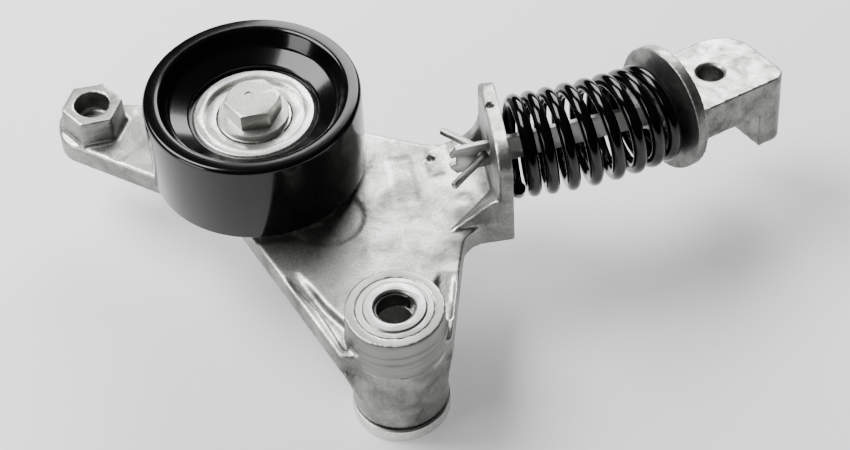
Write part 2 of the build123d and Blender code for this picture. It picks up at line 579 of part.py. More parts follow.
with BuildPart() as pulley_bolt:
    with BuildSketch(Plane.XY.offset(BOLT_TIP_Z)):
        Circle(BOLT_D / 2 - THREAD_FIT)
    extrude(amount=BOLT_SEAT_Z - BOLT_TIP_Z)
    with BuildSketch(Plane.XY.offset(BOLT_SEAT_Z)):
        Circle(BOLT_FLANGE_D / 2)
    extrude(amount=BOLT_FLANGE_T)
    with BuildSketch(Plane.XY.offset(BOLT_SEAT_Z + BOLT_FLANGE_T)):
        RegularPolygon(BOLT_HEAD_AF / 2, 6, major_radius=False, rotation=BOLT_TURN)
    extrude(amount=BOLT_HEAD_H)
    with BuildSketch(Plane.XY.offset(HEAD_TOP_Z)):
        with Locations((DIMPLE_X, DIMPLE_Y)):
            Circle(DIMPLE_D / 2)
    extrude(amount=-DIMPLE_DEPTH, mode=Mode.SUBTRACT)
    # the head's corners are turned off by a cone
    corner_r = BOLT_HEAD_AF / math.sqrt(3)
    with BuildSketch(Plane.XZ):
        with BuildLine():
            Polyline((BOLT_HEAD_AF / 2 - HEAD_CONE_IN, HEAD_TOP_Z), (corner_r + 1, HEAD_TOP_Z),
                     (corner_r + 1, HEAD_TOP_Z - HEAD_CONE_DROP), close=True)
        make_face()
    revolve(axis=Axis.Z, mode=Mode.SUBTRACT)

for piece in (bearing_inner_ring, bearing_outer_ring, bearing_balls, bearing_shield_front,
              bearing_shield_rear, cage_front, cage_rear, cage_rivets, pulley_spacer, pulley_bolt):
    piece.part = piece.part.moved(PULLEY_AXIS)

# ---------------------------------------------------------------- strut

rod_plane = Plane(ROD_AT_SEAT, x_dir=ROD_ALONG, z_dir=-ROD_SIDE)   # x along the rod, y up the rod
rod_reach = (DISC_BACK - ROD_AT_SEAT).dot(ROD_ALONG) + 0.5
pin_x = -(PIN_D / 2 + FACE_GAP) / math.cos(math.radians(ROD_YAW)) - 2 * FACE_GAP
pin_hole_d = PIN_D + 2 * SLIDE_FIT
with BuildPart() as spring_rod:
    with BuildSketch(rod_plane):
        with BuildLine():
            Polyline((-ROD_TAIL, -ROD_H / 2 + ROD_NOSE_H), (-ROD_TAIL + ROD_NOSE_L, -ROD_H / 2),
                     (rod_reach, -ROD_H / 2), (rod_reach, -ROD_H / 2 - ROD_HOOK),
                     (rod_reach + ROD_HOOK_L, -ROD_H / 2 - ROD_HOOK),
                     (rod_reach + ROD_HOOK_L, ROD_H / 2 - ROD_HOOK_STEP),
                     (-ROD_TAIL + ROD_NOSE_L, ROD_H / 2), (-ROD_TAIL, ROD_H / 2 - ROD_NOSE_H),
                     close=True)
        make_face()
        with Locations((-ROD_TAIL, ROD_NOTCH_UP)):
            Rectangle(ROD_NOTCH_L, ROD_NOTCH_H, mode=Mode.SUBTRACT)
        with Locations((pin_x, 0)):
            SlotOverall(pin_hole_d + PIN_SLOT_L, pin_hole_d, mode=Mode.SUBTRACT)
    extrude(amount=ROD_T / 2, both=True)

end_flat = Plane(DISC_BACK, x_dir=END_ALONG, z_dir=END_UP)         # looking down on the lug
end_face = Plane(DISC_BACK, x_dir=END_SIDE, z_dir=END_ALONG)       # looking along the strut
with BuildPart() as strut_end:
    with BuildSketch(end_face):
        Circle(DISC_D / 2)
    extrude(amount=-DISC_T)
    with BuildSketch(end_flat.offset(LUG_TOP)):
        with BuildLine():
            FilletPolyline((-LUG_LAP, LUG_W / 2), (-LUG_LAP, -LUG_W / 2), (LUG_L, -LUG_W / 2),
                           (LUG_L, LUG_W / 2), radius=[0.1, 0.1, LUG_FRONT_R, LUG_BACK_R], close=True)
        make_face()
    extrude(amount=-LUG_T)
    # tang, with the lug's own outline at its far end
    with BuildSketch(end_flat.offset(LUG_TOP - LUG_T)):
        with BuildLine():
            FilletPolyline((-LUG_LAP, LUG_W / 2), (-LUG_LAP, -LUG_W / 2), (LUG_L, -LUG_W / 2),
                           (LUG_L, LUG_W / 2), radius=[0.1, 0.1, LUG_FRONT_R, LUG_BACK_R], close=True)
        make_face()
        with Locations((LUG_L - TANG_L / 2, 0)):
            Rectangle(TANG_L, LUG_W, mode=Mode.INTERSECT)
    extrude(amount=-TANG_H)
    # hole for the fixing bolt
    with Locations(end_flat.offset(LUG_TOP)):
        with Locations((LUG_HOLE_X, 0)):
            Hole(LUG_HOLE_D / 2, depth=LUG_T)
    hole_rims = strut_end.edges().filter_by(
        lambda e: e.geom_type == GeomType.CIRCLE and abs(e.radius - LUG_HOLE_D / 2) < 0.01)
    chamfer(hole_rims, LUG_CHAMFER)
    # pocket under the lug for the rod's hook, open downwards
    with BuildSketch(end_flat.offset(LUG_TOP - HOOK_POCKET_ROOF)):
        with Locations((HOOK_POCKET_L / 2, 0)):
            Rectangle(HOOK_POCKET_L, HOOK_POCKET_W)
    extrude(amount=-LUG_T, mode=Mode.SUBTRACT)
    # slot through the disc for the rod
    with BuildSketch(end_face):
        with Locations((DISC_SLOT_X, DISC_SLOT_Y)):
            RectangleRounded(DISC_SLOT_W, ROD_H + DISC_SLOT_PLAY, SLOT_CORNER_R)
    extrude(amount=-DISC_T, mode=Mode.SUBTRACT)

leg_dir_x = math.cos(math.radians(PIN_SPREAD))
leg_dir_y = math.sin(math.radians(PIN_SPREAD))
pin_at = ROD_AT_SEAT + ROD_ALONG * pin_x
with BuildPart() as retaining_pin:
    with BuildLine() as pin_route:
        FilletPolyline(pin_at + Vector(-leg_dir_x, leg_dir_y, 0) * PIN_LEG,
                       pin_at + Vector(0, PIN_EYE / 2, 0), pin_at + Vector(0, -PIN_EYE / 2, 0),
                       pin_at + Vector(-leg_dir_x, -leg_dir_y, 0) * PIN_LEG, radius=PIN_BEND_R)
    with BuildSketch(Plane(pin_route.line @ 0, z_dir=pin_route.line % 0)):
        Circle(PIN_D / 2)
    sweep()

# ---------------------------------------------------------------- coil spring

SEAT_SIDE_END = Vector(SEAT_OUT_X + SPRING_GAP, ROD_Y + 0.8, ROD_Z)
DISC_SIDE_END = DISC_FRONT - END_ALONG * SPRING_GAP
POINTS_PER_TURN = 12


def coil_axis(t):
    """Point and direction on the coil's bent centre line, t from 0 at the arm to 1 at the disc."""
    span = (DISC_SIDE_END - SEAT_SIDE_END).length
    start, end = Vector(span, 0, 0), END_ALONG * span
    point = (SEAT_SIDE_END * (2 * t**3 - 3 * t**2 + 1) + start * (t**3 - 2 * t**2 + t)
             + DISC_SIDE_END * (3 * t**2 - 2 * t**3) + end * (t**3 - t**2))
    along = (SEAT_SIDE_END * (6 * t**2 - 6 * t) + start * (3 * t**2 - 4 * t + 1)
             + DISC_SIDE_END * (6 * t - 6 * t**2) + end * (3 * t**2 - 2 * t))
    return point, along.normalized()


def coil_point(turn):
    """Centre of the wire after a number of turns, close turns at both ends."""
    span = (DISC_SIDE_END - SEAT_SIDE_END).length
    free = span - WIRE_D - COIL_END_PITCH * COIL_TURNS
    u = turn / COIL_TURNS
    eased = u - math.sin(2 * math.pi * u) / (2 * math.pi)
    advance = COIL_END_PITCH * turn + free * eased
    t = (WIRE_D / 2 + advance) / span
    point, along = coil_axis(t)
    side = Vector(0, 0, 1).cross(along).normalized()
    radius = COIL_END_R + COIL_SWELL * math.sin(math.pi * t)
    angle = math.radians(COIL_PHASE) + 2 * math.pi * turn
    return point + side * (radius * math.cos(angle)) + along.cross(side) * (radius * math.sin(angle))


steps = round(COIL_TURNS * POINTS_PER_TURN)
with BuildPart() as coil_spring:
    with BuildLine() as coil_path:
        Spline([coil_point(COIL_TURNS * i / steps) for i in range(steps + 1)])
    with BuildSketch(Plane(coil_path.line @ 0, z_dir=coil_path.line % 0)):
        Circle(WIRE_D / 2)
    sweep(is_frenet=True)

# ---------------------------------------------------------------- output

PIECES = {
    "pivot_shaft": pivot_shaft,
    "bolt_retaining_ring": bolt_retaining_ring,
    "arm_casting": arm_casting,
    "upper_bushing": upper_bushing,
    "lower_bushing": lower_bushing,
    "dust_seal": dust_seal,
    "pulley_shell": pulley_shell,
    "bearing_outer_ring": bearing_outer_ring,
    "bearing_inner_ring": bearing_inner_ring,
    "bearing_balls": bearing_balls,
    "bearing_shield_front": bearing_shield_front,
    "bearing_shield_rear": bearing_shield_rear,
    "cage_front": cage_front,
    "cage_rear": cage_rear,
    "cage_rivets": cage_rivets,
    "pulley_spacer": pulley_spacer,
    "pulley_bolt": pulley_bolt,
    "spring_rod": spring_rod,
    "strut_end": strut_end,
    "retaining_pin": retaining_pin,
    "coil_spring": coil_spring,
}
for name, piece in PIECES.items():
    piece.part.label = name
    export_step(piece.part, f"parts/{name}.step")
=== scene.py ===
"""Belt tensioner idler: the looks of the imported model.

The arm and the bolt-down end are die castings, so they are rounded all over. Turned and pressed
pieces keep their shape and get a small edge break. The pulley is a lathe turning, and the coil
spring, the balls and the rivets follow rules in geometry nodes. Lengths in the classes are in
millimetres, and every mesh is in metres in the model's own frame.
"""
import logging
import math
from dataclasses import dataclass, field
from enum import Enum
from typing import Any, Iterable, Sequence

import bmesh
import bpy
from mathutils import Matrix, Vector


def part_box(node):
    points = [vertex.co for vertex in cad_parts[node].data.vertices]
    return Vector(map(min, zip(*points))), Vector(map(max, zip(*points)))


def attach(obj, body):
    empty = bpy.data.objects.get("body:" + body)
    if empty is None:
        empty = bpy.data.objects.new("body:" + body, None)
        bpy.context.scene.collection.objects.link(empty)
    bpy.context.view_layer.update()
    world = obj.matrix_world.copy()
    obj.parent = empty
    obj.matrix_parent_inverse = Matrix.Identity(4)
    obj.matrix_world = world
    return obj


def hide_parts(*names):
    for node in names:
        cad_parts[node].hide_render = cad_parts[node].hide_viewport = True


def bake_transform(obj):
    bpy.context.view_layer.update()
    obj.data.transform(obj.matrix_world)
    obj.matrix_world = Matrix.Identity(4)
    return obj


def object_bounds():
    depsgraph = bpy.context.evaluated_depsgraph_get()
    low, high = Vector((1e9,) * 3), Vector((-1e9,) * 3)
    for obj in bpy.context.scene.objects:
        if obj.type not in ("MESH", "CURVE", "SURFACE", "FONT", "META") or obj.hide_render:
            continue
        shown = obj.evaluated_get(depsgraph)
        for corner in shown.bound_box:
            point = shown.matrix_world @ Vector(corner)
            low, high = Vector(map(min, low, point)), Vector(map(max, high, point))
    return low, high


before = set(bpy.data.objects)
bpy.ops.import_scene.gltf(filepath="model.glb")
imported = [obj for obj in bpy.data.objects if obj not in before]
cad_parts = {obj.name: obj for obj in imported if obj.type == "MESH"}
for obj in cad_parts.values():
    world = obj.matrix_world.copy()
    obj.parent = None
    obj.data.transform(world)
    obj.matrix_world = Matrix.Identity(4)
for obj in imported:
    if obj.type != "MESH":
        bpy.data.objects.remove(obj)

CAD_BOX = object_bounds()
MM = 0.001
WELD_M = 1e-6               # vertices nearer than this are one
FLAT_DEG = 0.3              # faces within this angle are one flat face
BEVEL_DEG = 32.0            # edges sharper than this are broken
SHARP_DEG = 26.0            # edges sharper than this are shaded sharp
LATHE_SHARP_DEG = 38.0      # the same on the turned pulley
ROUND_DEG = 180.0           # no edge of a casting is sharp

logging.basicConfig(level=logging.INFO, format="%(message)s")
log = logging.getLogger("tensioner")


# ------------------------------------------------------------------------------ small helpers


def linear(hex_code: str) -> tuple[float, float, float, float]:
    """Turns an sRGB hex colour into linear light.

    Args:
        hex_code: six hex digits, with or without a leading hash.

    Returns:
        Red, green, blue and an alpha of one.
    """
    digits = hex_code.lstrip("#")
    parts = [int(digits[i:i + 2], 16) / 255 for i in (0, 2, 4)]
    flat = [c / 12.92 if c <= 0.04045 else ((c + 0.055) / 1.055) ** 2.4 for c in parts]
    return flat[0], flat[1], flat[2], 1.0


def per_metre(size_mm: float) -> float:
    """Texture scale whose features are about that many millimetres across."""
    return 1 / (size_mm * MM)


def add_node(tree: bpy.types.NodeTree, kind: str, inputs: dict[Any, Any] | None = None,
             **settings: Any) -> bpy.types.Node:
    """Adds a node with its settings and links.

    Args:
        tree: node tree that takes the node.
        kind: Blender's name for the node type.
        inputs: input name or number to a value, or to the socket that feeds it.
        **settings: properties of the node.

    Returns:
        The new node.
    """
    made = tree.nodes.new(kind)
    for name, value in settings.items():
        setattr(made, name, value)
    for key, value in (inputs or {}).items():
        if isinstance(value, bpy.types.NodeSocket):
            tree.links.new(value, made.inputs[key])
        else:
            made.inputs[key].default_value = value
    return made


def turned_frame(yaw: float, pitch: float, roll: float) -> tuple[Vector, Vector, Vector]:
    """Directions of a frame turned about +Z, nosed up and then rolled about its own axis.

    Args:
        yaw: degrees about +Z.
        pitch: degrees up.
        roll: degrees about the frame's own axis.

    Returns:
        The directions along, to the side and up.
    """
    y, p, r = (math.radians(a) for a in (yaw, pitch, roll))
    along = Vector((math.cos(y) * math.cos(p), math.sin(y) * math.cos(p), math.sin(p)))
    side = Vector((-math.sin(y), math.cos(y), 0))
    up = along.cross(side)
    return along, side * math.cos(r) + up * math.sin(r), up * math.cos(r) - side * math.sin(r)


# ------------------------------------------------------------------------------ finishes


@dataclass(frozen=True)
class Finish:
    """A surface finish: what a piece is made of and how its surface was made."""

    name: str
    slot: str
    colour: str
    roughness: float
    metallic: float = 1.0
    relief_mm: float = 0.02
    relief: float = 0.3         # strength of the bump

    def material(self) -> bpy.types.Material:
        """Makes the finish's material on the first call.

        Returns:
            The material.
        """
        known = bpy.data.materials.get(self.name)
        if known:
            return known
        made = bpy.data.materials.new(self.name)
        made.use_nodes = True
        tree = made.node_tree
        tree.nodes.clear()
        shader = add_node(tree, "ShaderNodeBsdfPrincipled", {"Metallic": self.metallic})
        add_node(tree, "ShaderNodeOutputMaterial", {"Surface": shader.outputs[0]})
        place = add_node(tree, "ShaderNodeTexCoord").outputs["Object"]
        self.dress(tree, shader, place)
        return made

    def dress(self, tree: bpy.types.NodeTree, shader: bpy.types.Node,
              place: bpy.types.NodeSocket) -> None:
        """Adds the finish's pattern to the shader.

        Args:
            tree: the material's nodes.
            shader: the principled shader.
            place: object coordinates.
        """
        raise NotImplementedError

    def noise(self, tree: bpy.types.NodeTree, place: bpy.types.NodeSocket, size_mm: float,
              detail: float = 4.0) -> bpy.types.NodeSocket:
        """Adds a noise pattern.

        Args:
            tree: the material's nodes.
            place: object coordinates.
            size_mm: size of its patches.
            detail: steps of finer noise in it.

        Returns:
            The pattern, from nought to one.
        """
        return add_node(tree, "ShaderNodeTexNoise",
                        {"Vector": place, "Scale": per_metre(size_mm), "Detail": detail}
                        ).outputs["Fac"]

    def spread(self, tree: bpy.types.NodeTree, value: bpy.types.NodeSocket, low: float,
               high: float, start: float = 0.3, end: float = 0.7) -> bpy.types.NodeSocket:
        """Maps a pattern's middle range onto low to high.

        Args:
            tree: the material's nodes.
            value: the pattern.
            low: result at the range's start.
            high: result at its end.
            start: where the range starts.
            end: where it ends.

        Returns:
            The mapped value.
        """
        return add_node(tree, "ShaderNodeMapRange",
                        {"Value": value, "From Min": start, "From Max": end,
                         "To Min": low, "To Max": high}).outputs["Result"]

    def bump(self, tree: bpy.types.NodeTree, shader: bpy.types.Node,
             height: bpy.types.NodeSocket) -> None:
        """Feeds a height pattern to the shader's normal, as deep as the finish's relief.

        Args:
            tree: the material's nodes.
            shader: the principled shader.
            height: the pattern.
        """
        lift = add_node(tree, "ShaderNodeBump", {"Height": height, "Strength": self.relief,
                                                 "Distance": self.relief_mm * MM})
        tree.links.new(lift.outputs[0], shader.inputs["Normal"])

    def blended(self, tree: bpy.types.NodeTree, fac: bpy.types.NodeSocket, first: Any,
                second: Any) -> bpy.types.NodeSocket:
        """Mixes two colours.

        Args:
            tree: the material's nodes.
            fac: share of the second colour.
            first: a colour or the socket that gives it.
            second: a colour or the socket that gives it.

        Returns:
            The mixed colour's socket.
        """
        return add_node(tree, "ShaderNodeMix", {0: fac, 6: first, 7: second},
                        data_type="RGBA").outputs[2]


@dataclass(frozen=True)
class CastAluminium(Finish):
    """Die-cast aluminium, tumbled: cloudy skin, fine grain, burnished edges and painted shade on
    upright faces.
    """

    stain: str = "74746f"
    burnish: str = "f4f4f2"
    cloud_mm: float = 11.0
    grain_mm: float = 0.7       # real grit is finer and would not show
    dent_mm: float = 2.4
    turned: str = "c3c3c0"
    turned_radius_mm: float = 0.0       # turned zone about the pivot axis, nought for none
    turned_from_mm: float = 0.0
    tool_mark_mm: float = 1.3
    side: str = "2c2c2b"        # painted shade: upright faces are drawn darker than faces that look up
    painted_side_shade_share: float = 0.62
    painted_side_shade_band: tuple[float, float] = (0.2, 0.85)
    stain_share: float = 0.9
    stain_band: tuple[float, float] = (0.40, 0.66)
    grain_share: float = 0.45
    grain_band: tuple[float, float] = (0.42, 0.72)
    worn_share: float = 0.9
    worn_band: tuple[float, float] = (0.53, 0.60)
    mark_share: float = 0.6
    mark_band: tuple[float, float] = (0.45, 0.65)
    relief_mm: float = 0.12
    relief: float = 0.45

    def dress(self, tree: bpy.types.NodeTree, shader: bpy.types.Node,
              place: bpy.types.NodeSocket) -> None:
        """Clouds and grain in colour, roughness and bump, lighter where edges stand out, with
        painted shade that darkens upright faces.

        Args:
            tree: the material's nodes.
            shader: the principled shader.
            place: object coordinates.
        """
        cloud = add_node(tree, "ShaderNodeTexNoise", {
            "Vector": place, "Scale": per_metre(self.cloud_mm), "Detail": 9.0, "Roughness": 0.62,
            "Distortion": 0.5}).outputs["Fac"]
        grain = self.noise(tree, place, self.grain_mm, 3.0)
        dent = self.noise(tree, place, self.dent_mm, 3.0)
        skin = self.blended(tree, self.spread(tree, cloud, 0.0, self.stain_share, *self.stain_band),
                            linear(self.colour), linear(self.stain))
        speck = self.blended(tree,
                             self.spread(tree, grain, 0.0, self.grain_share, *self.grain_band),
                             skin, linear(self.stain))
        edge = add_node(tree, "ShaderNodeNewGeometry").outputs["Pointiness"]
        worn = self.spread(tree, edge, 0.0, self.worn_share, *self.worn_band)
        colour = self.blended(tree, worn, speck, linear(self.burnish))
        height = add_node(tree, "ShaderNodeMath", {0: grain, 1: dent}, operation="ADD").outputs[0]
        rough = self.spread(tree, cloud, self.roughness - 0.06, self.roughness + 0.12)
        if self.turned_radius_mm:
            zone, marks = self.turned_zone(tree, place)
            lathed = self.blended(tree,
                                  self.spread(tree, marks, 0.0, self.mark_share, *self.mark_band),
                                  linear(self.turned), linear(self.stain))
            colour = self.blended(tree, zone, colour, lathed)
            height = add_node(tree, "ShaderNodeMix", {0: zone, 2: height, 3: marks}).outputs[0]
        # painted shade: the colour darkens as a face turns from looking up to standing upright
        upright = add_node(tree, "ShaderNodeSeparateXYZ", {
            0: add_node(tree, "ShaderNodeNewGeometry").outputs["Normal"]}).outputs[2]
        colour = self.blended(tree,
                              self.spread(tree, upright, self.painted_side_shade_share, 0.0, *self.painted_side_shade_band),
                              colour, linear(self.side))
        tree.links.new(colour, shader.inputs["Base Color"])
        tree.links.new(rough, shader.inputs["Roughness"])
        self.bump(tree, shader, height)

    def turned_zone(self, tree: bpy.types.NodeTree, place: bpy.types.NodeSocket
                    ) -> tuple[bpy.types.NodeSocket, bpy.types.NodeSocket]:
        """Finds the faces turned about the pivot axis and their tool marks.

        Args:
            tree: the material's nodes.
            place: object coordinates.

        Returns:
            One inside the zone, and the height of the marks.
        """
        parts = add_node(tree, "ShaderNodeSeparateXYZ", {0: place}).outputs
        flat = add_node(tree, "ShaderNodeCombineXYZ", {0: parts[0], 1: parts[1]}).outputs[0]
        reach = add_node(tree, "ShaderNodeVectorMath", {0: flat}, operation="LENGTH").outputs[1]
        inside = add_node(tree, "ShaderNodeMath", {0: reach, 1: self.turned_radius_mm * MM},
                          operation="LESS_THAN").outputs[0]
        above = add_node(tree, "ShaderNodeMath", {0: parts[2], 1: self.turned_from_mm * MM},
                         operation="GREATER_THAN").outputs[0]
        zone = add_node(tree, "ShaderNodeMath", {0: inside, 1: above},
                        operation="MULTIPLY").outputs[0]
        drawn = add_node(tree, "ShaderNodeMapping", {"Vector": place, "Scale": (0.06, 0.06, 1.0)})
        return zone, self.noise(tree, drawn.outputs[0], self.tool_mark_mm, 3.0)


@dataclass(frozen=True)
class BlackCoat(Finish):
    """Gloss black baked coating over steel: nearly flat, with a faint orange peel."""

    peel_mm: float = 2.2
    dust_mm: float = 14.0
    specular: float = 0.32
    coat: float = 0.12
    coat_roughness: float = 0.05
    relief: float = 0.15

    def dress(self, tree: bpy.types.NodeTree, shader: bpy.types.Node,
              place: bpy.types.NodeSocket) -> None:
        """Orange peel in the bump and thin handling haze in the roughness.

        Args:
            tree: the material's nodes.
            shader: the principled shader.
            place: object coordinates.
        """
        shader.inputs["Base Color"].default_value = linear(self.colour)
        shader.inputs["Specular IOR Level"].default_value = self.specular
        shader.inputs["Coat Weight"].default_value = self.coat
        shader.inputs["Coat Roughness"].default_value = self.coat_roughness
        haze = self.noise(tree, place, self.dust_mm, 5.0)
        tree.links.new(self.spread(tree, haze, self.roughness - 0.02, self.roughness + 0.04),
                       shader.inputs["Roughness"])
        self.bump(tree, shader, self.noise(tree, place, self.peel_mm, 1.0))


@dataclass(frozen=True)
class MachinedSteel(Finish):
    """Steel finished by a cutting tool or a wheel: fine speckle and, if turned, rings."""

    speck: str = "a8a8a6"
    speck_mm: float = 0.8       # drawn coarser than the real grind so that it shows
    ring_mm: float = 0.0        # feed of the turning tool, nought for ground faces
    axis_mm: tuple[float, float] = (0.0, 0.0)
    speck_share: float = 0.6
    speck_band: tuple[float, float] = (0.4, 0.7)

    def dress(self, tree: bpy.types.NodeTree, shader: bpy.types.Node,
              place: bpy.types.NodeSocket) -> None:
        """Speckle in the colour and roughness, with tool rings about the piece's axis.

        Args:
            tree: the material's nodes.
            shader: the principled shader.
            place: object coordinates.
        """
        grit = self.noise(tree, place, self.speck_mm, 2.0)
        tree.links.new(self.blended(tree,
                                    self.spread(tree, grit, 0.0, self.speck_share,
                                                *self.speck_band),
                                    linear(self.colour), linear(self.speck)),
                       shader.inputs["Base Color"])
        tree.links.new(self.spread(tree, grit, self.roughness - 0.05, self.roughness + 0.07),
                       shader.inputs["Roughness"])
        height = grit
        if self.ring_mm:
            centred = add_node(tree, "ShaderNodeMapping", {
                "Vector": place, "Location": (-self.axis_mm[0] * MM, -self.axis_mm[1] * MM, 0)})
            # one ring of the wave texture is a tenth of its unit across, times two pi
            rings = add_node(tree, "ShaderNodeTexWave", {
                "Vector": centred.outputs[0], "Scale": per_metre(self.ring_mm) * math.pi / 10,
                "Distortion": 0.3}, wave_type="RINGS", rings_direction="Z")
            height = add_node(tree, "ShaderNodeMath", {0: grit, 1: rings.outputs["Fac"]},
                              operation="ADD").outputs[0]
        self.bump(tree, shader, height)


@dataclass(frozen=True)
class StripSteel(Finish):
    """Blanked strip or drawn wire: oiled mid grey with soft streaks and scuffs."""

    scuff: str = "b4b4b2"
    streak_mm: float = 1.6
    scuff_share: float = 0.7
    scuff_band: tuple[float, float] = (0.42, 0.72)
    relief_mm: float = 0.04

    def dress(self, tree: bpy.types.NodeTree, shader: bpy.types.Node,
              place: bpy.types.NodeSocket) -> None:
        """Streaks along X and pale scuffs.

        Args:
            tree: the material's nodes.
            shader: the principled shader.
            place: object coordinates.
        """
        drawn = add_node(tree, "ShaderNodeMapping", {"Vector": place, "Scale": (0.15, 1.0, 1.0)})
        streak = self.noise(tree, drawn.outputs[0], self.streak_mm, 4.0)
        tree.links.new(self.blended(tree,
                                    self.spread(tree, streak, 0.0, self.scuff_share,
                                                *self.scuff_band),
                                    linear(self.colour), linear(self.scuff)),
                       shader.inputs["Base Color"])
        tree.links.new(self.spread(tree, streak, self.roughness - 0.08, self.roughness + 0.08),
                       shader.inputs["Roughness"])
        self.bump(tree, shader, streak)


@dataclass(frozen=True)
class Moulded(Finish):
    """Moulded polymer or rubber: dull, with a fine moulded grain."""

    grain_mm: float = 0.7
    relief_mm: float = 0.03

    def dress(self, tree: bpy.types.NodeTree, shader: bpy.types.Node,
              place: bpy.types.NodeSocket) -> None:
        """Fine grain in the roughness and bump.

        Args:
            tree: the material's nodes.
            shader: the principled shader.
            place: object coordinates.
        """
        shader.inputs["Base Color"].default_value = linear(self.colour)
        grain = self.noise(tree, place, self.grain_mm, 2.0)
        tree.links.new(self.spread(tree, grain, self.roughness - 0.08, self.roughness + 0.08),
                       shader.inputs["Roughness"])
        self.bump(tree, shader, grain)


def centre_mm(node: str) -> tuple[float, float]:
    """Middle of a CAD node seen from above, in millimetres."""
    low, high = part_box(node)
    return (low.x + high.x) / 2 / MM, (low.y + high.y) / 2 / MM


PULLEY_AXIS_MM = centre_mm("pulley_shell")


class Finishes(Enum):
    """Every finish on the object."""

    ARM = CastAluminium("die_cast_aluminium_arm", "cast_aluminium", "d8d8d5", 0.36,
                        turned_radius_mm=15.8, turned_from_mm=31.7)
    END = CastAluminium("die_cast_aluminium_end", "strut_cast", "c6c6c3", 0.36, stain="6c6c6a",
                        cloud_mm=7.0)
    PULLEY = BlackCoat("baked_black_pulley", "pulley_black", "050505", 0.13, metallic=0.0)
    SPRING = BlackCoat("baked_black_spring", "spring_black", "040404", 0.11, metallic=0.0,
                       peel_mm=1.4)
    SHAFT = MachinedSteel("turned_steel_shaft", "turned_steel", "dadad7", 0.34, ring_mm=0.5)
    SPACER = MachinedSteel("turned_steel_spacer", "turned_steel", "c6c6c3", 0.36, ring_mm=0.5,
                           axis_mm=PULLEY_AXIS_MM)
    BEARING = MachinedSteel("ground_bearing_steel", "bearing_steel", "e4e4e1", 0.30,
                            speck="bcbcb9")
    BALLS = MachinedSteel("lapped_ball_steel", "ball_steel", "e8e8e6", 0.08, speck="dcdcda")
    SHEET = MachinedSteel("pressed_sheet_steel", "shield_steel", "dededb", 0.32, speck="b6b6b3")
    CAGE = MachinedSteel("pressed_cage_strip", "cage_steel", "bdb9b0", 0.34, speck="98948c")
    BOLT = MachinedSteel("zinc_plated_bolt", "bolt_zinc", "c2c2bd", 0.38, speck="8e8e8a",
                         speck_mm=0.6)
    RING = MachinedSteel("rolled_spring_strip", "spring_steel", "5c5c5b", 0.38, speck="444443")
    ROD = StripSteel("blanked_rod_strip", "rod_steel", "b2b2b0", 0.42)
    PIN = StripSteel("drawn_pin_wire", "pin_steel", "8e8e8b", 0.36, streak_mm=1.0)
    BUSH = MachinedSteel("rolled_steel_bush", "bush_steel", "c6c6c3", 0.40, speck="b4b4b1")
    SEAL = Moulded("moulded_seal_rubber", "seal_rubber", "0c0c0c", 0.65, metallic=0.0)


# ------------------------------------------------------------------------------ mesh work


def finish_piece(piece: bpy.types.Object, body: str, finish: Finishes,
                 stands_for: Sequence[str]) -> bpy.types.Object:
    """Gives a piece its material, body and the nodes that it stands for.

    Args:
        piece: a mesh whose place is in its vertices.
        body: CAD body that it rides on.
        finish: its finish.
        stands_for: CAD nodes that it replaces.

    Returns:
        The same piece.
    """
    piece.data.materials.clear()
    piece.data.materials.append(finish.value.material())
    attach(piece, body)
    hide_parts(*stands_for)
    log.info("%s: %d faces, rides on %s", piece.name, len(piece.data.polygons), body)
    return piece


def merged_copy(node: str, name: str) -> bpy.types.Object:
    """A CAD node's shape as one welded mesh with its flat faces whole.

    Args:
        node: the CAD node.
        name: name of the new piece.

    Returns:
        The new object, at the origin.
    """
    work = bmesh.new()
    work.from_mesh(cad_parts[node].data)
    bmesh.ops.remove_doubles(work, verts=work.verts, dist=WELD_M)
    bmesh.ops.dissolve_limit(work, angle_limit=math.radians(FLAT_DEG), verts=work.verts,
                             edges=work.edges)
    mesh = bpy.data.meshes.new(name)
    work.to_mesh(mesh)
    work.free()
    piece = bpy.data.objects.new(name, mesh)
    bpy.context.scene.collection.objects.link(piece)
    return piece


def settle(piece: bpy.types.Object, sharp_deg: float = SHARP_DEG) -> bpy.types.Object:
    """Applies a piece's modifiers and shades it smooth up to an edge angle.

    Args:
        piece: a mesh with its modifiers.
        sharp_deg: angle from which an edge is shaded sharp.

    Returns:
        The same piece.
    """
    graph = bpy.context.evaluated_depsgraph_get()
    graph.update()
    mesh = bpy.data.meshes.new_from_object(piece.evaluated_get(graph))
    piece.modifiers.clear()
    old = piece.data
    piece.data = mesh
    bpy.data.meshes.remove(old)
    mesh.name = piece.name
    mesh.shade_smooth()
    mesh.set_sharp_from_angle(angle=math.radians(sharp_deg))
    return piece


def edge_broken(node: str, name: str, width_mm: float, segments: int = 3,
                sharp_deg: float = SHARP_DEG) -> bpy.types.Object:
    """A turned, pressed or blanked piece with its sharp edges broken.

    Args:
        node: CAD node with the shape.
        name: name of the new piece.
        width_mm: width of the broken edge.
        segments: steps across it.
        sharp_deg: angle from which an edge is shaded sharp.

    Returns:
        The new object.
    """
    piece = merged_copy(node, name)
    bevel = piece.modifiers.new("edge", "BEVEL")
    bevel.width = width_mm * MM
    bevel.segments = segments
    bevel.limit_method = "ANGLE"
    bevel.angle_limit = math.radians(BEVEL_DEG)
    bevel.use_clamp_overlap = True
    return settle(piece, sharp_deg)


def cast(node: str, name: str, voxel_mm: float, rounding: int) -> bpy.types.Object:
    """A casting: the CAD shape with every edge and corner rounded.

    Args:
        node: CAD node with the shape.
        name: name of the new piece.
        voxel_mm: size of the mesh's faces.
        rounding: smoothing steps, more for larger radii.

    Returns:
        The new object.
    """
    piece = merged_copy(node, name)
    voxels = piece.modifiers.new("voxels", "REMESH")
    voxels.mode = "VOXEL"
    voxels.voxel_size = voxel_mm * MM
    smooth = piece.modifiers.new("rounding", "SMOOTH")
    smooth.factor = 0.5
    smooth.iterations = rounding
    return settle(piece, ROUND_DEG)


